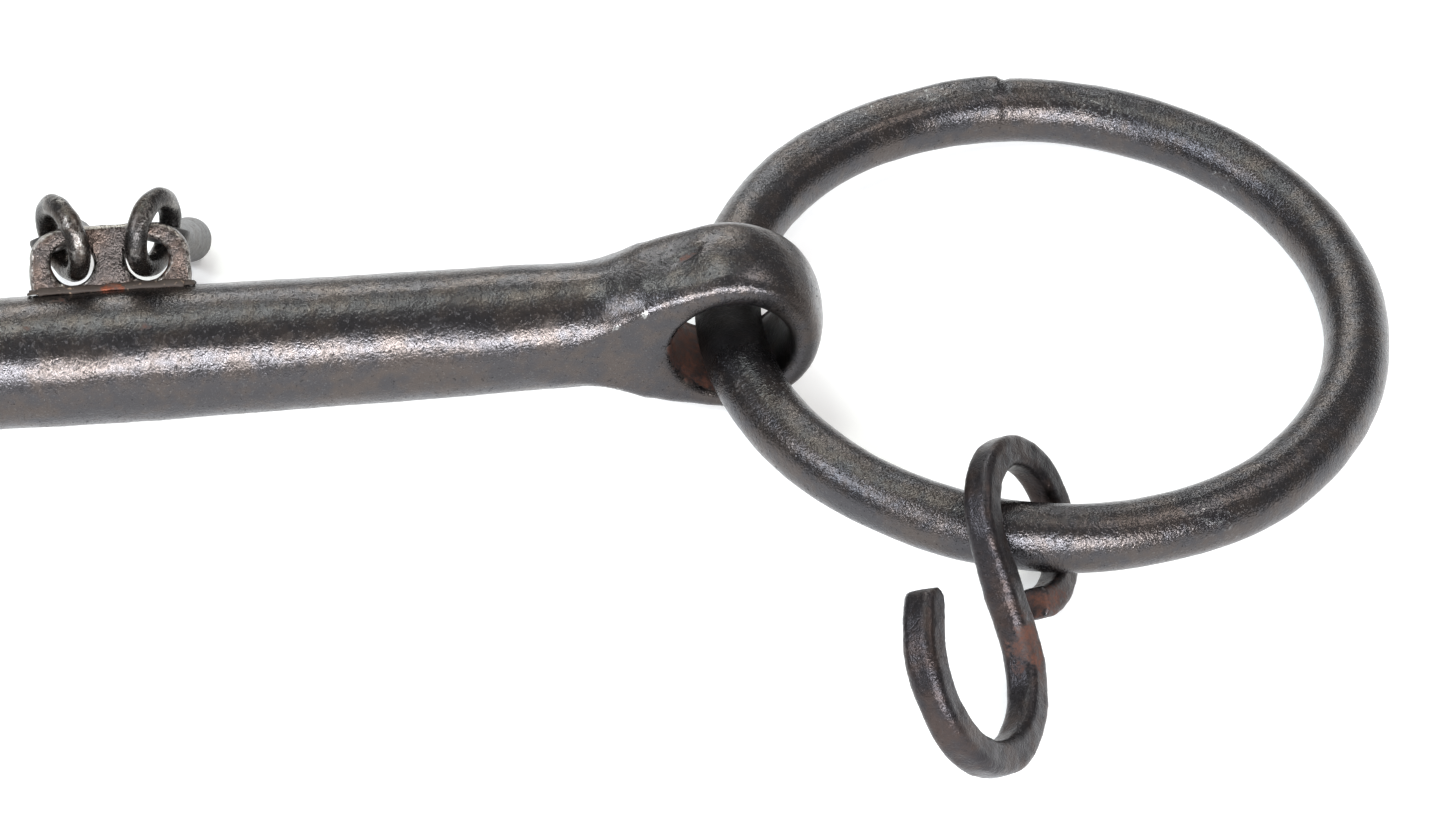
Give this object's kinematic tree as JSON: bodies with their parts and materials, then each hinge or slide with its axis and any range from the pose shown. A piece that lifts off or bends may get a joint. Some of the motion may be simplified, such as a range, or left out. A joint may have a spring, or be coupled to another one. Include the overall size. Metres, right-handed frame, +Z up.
{
  "type": "curb bit",
  "caption": "Forged straight-bar horse bit with a loose ring through each eye, S-hooks on the rings and a two-hole plate of drop keys.",
  "frame": {"origin": "on the table, under the middle of the whole lying bit (centre of the bounding box's bottom face)", "axes": "+X along the mouthpiece towards the right-hand ring, +Y away from the hooks (the far side), +Z up"},
  "size_m": [0.305, 0.1124, 0.0266],
  "materials": {
    "bar_iron": "dark hand-forged iron, pitted, worn bright on the crown",
    "plate_iron": "dark forged iron, rusty in the holes",
    "braze": "dull reddish filler",
    "ring_iron": "dark forged iron, rubbed bright by leather",
    "hook_iron": "dark forged iron with bevelled edges, browner at the foot",
    "small_ring_iron": "dark iron wire, worn",
    "key_iron": "dull grey iron"
  },
  "bodies": {
    "mouthpiece": {"mouthpiece_bar": "bar_iron", "key_plate": "plate_iron", "plate_braze": "braze"},
    "bit_ring_right": {"ring_right": "ring_iron"},
    "bit_ring_left": {"ring_left": "ring_iron"},
    "hook_right": {"s_hook_right": "hook_iron"},
    "hook_left": {"s_hook_left": "hook_iron"},
    "small_ring_right": {"key_ring_right": "small_ring_iron"},
    "small_ring_left": {"key_ring_left": "small_ring_iron"},
    "drop_key_right": {"key_right": "key_iron"},
    "drop_key_left": {"key_left": "key_iron"}
  },
  "joints": [
    {"name": "ring_right_pivot", "type": "hinge", "parent": "mouthpiece", "child": "bit_ring_right", "pos_m": [0.0728, 0.0129, 0.0087], "axis": [0.0407, -0.998, 0.0488], "range_deg": [-90, 135]},
    {"name": "ring_left_pivot", "type": "hinge", "parent": "mouthpiece", "child": "bit_ring_left", "pos_m": [-0.0728, 0.0129, 0.0087], "axis": [0.0407, 0.998, -0.0488], "range_deg": [-90, 135]},
    {"name": "hook_right_pivot", "type": "hinge", "parent": "bit_ring_right", "child": "hook_right", "pos_m": [0.10284, -0.02267, 0.0091], "axis": [0.9776, -0.2076, -0.0354], "range_deg": [-150, 90]},
    {"name": "hook_left_pivot", "type": "hinge", "parent": "bit_ring_left", "child": "hook_left", "pos_m": [-0.10284, -0.02267, 0.0091], "axis": [0.9776, 0.2076, 0.0354], "range_deg": [-150, 90]},
    {"name": "key_ring_right_pivot", "type": "hinge", "parent": "mouthpiece", "child": "small_ring_right", "pos_m": [0.0044, 0.02396, 0.02166], "axis": [1, 0, 0], "range_deg": [-5, 45]},
    {"name": "key_ring_left_pivot", "type": "hinge", "parent": "mouthpiece", "child": "small_ring_left", "pos_m": [-0.0044, 0.02396, 0.02166], "axis": [1, 0, 0], "range_deg": [-5, 45]},
    {"name": "key_right_pivot", "type": "hinge", "parent": "small_ring_right", "child": "drop_key_right", "pos_m": [0.0069, 0.02623, 0.01821], "axis": [0.2924, 0.6762, 0.6762], "range_deg": [-30, 20]},
    {"name": "key_left_pivot", "type": "hinge", "parent": "small_ring_left", "child": "drop_key_left", "pos_m": [-0.0069, 0.02623, 0.01821], "axis": [-0.2924, 0.6762, 0.6762], "range_deg": [-30, 20]}
  ]
}
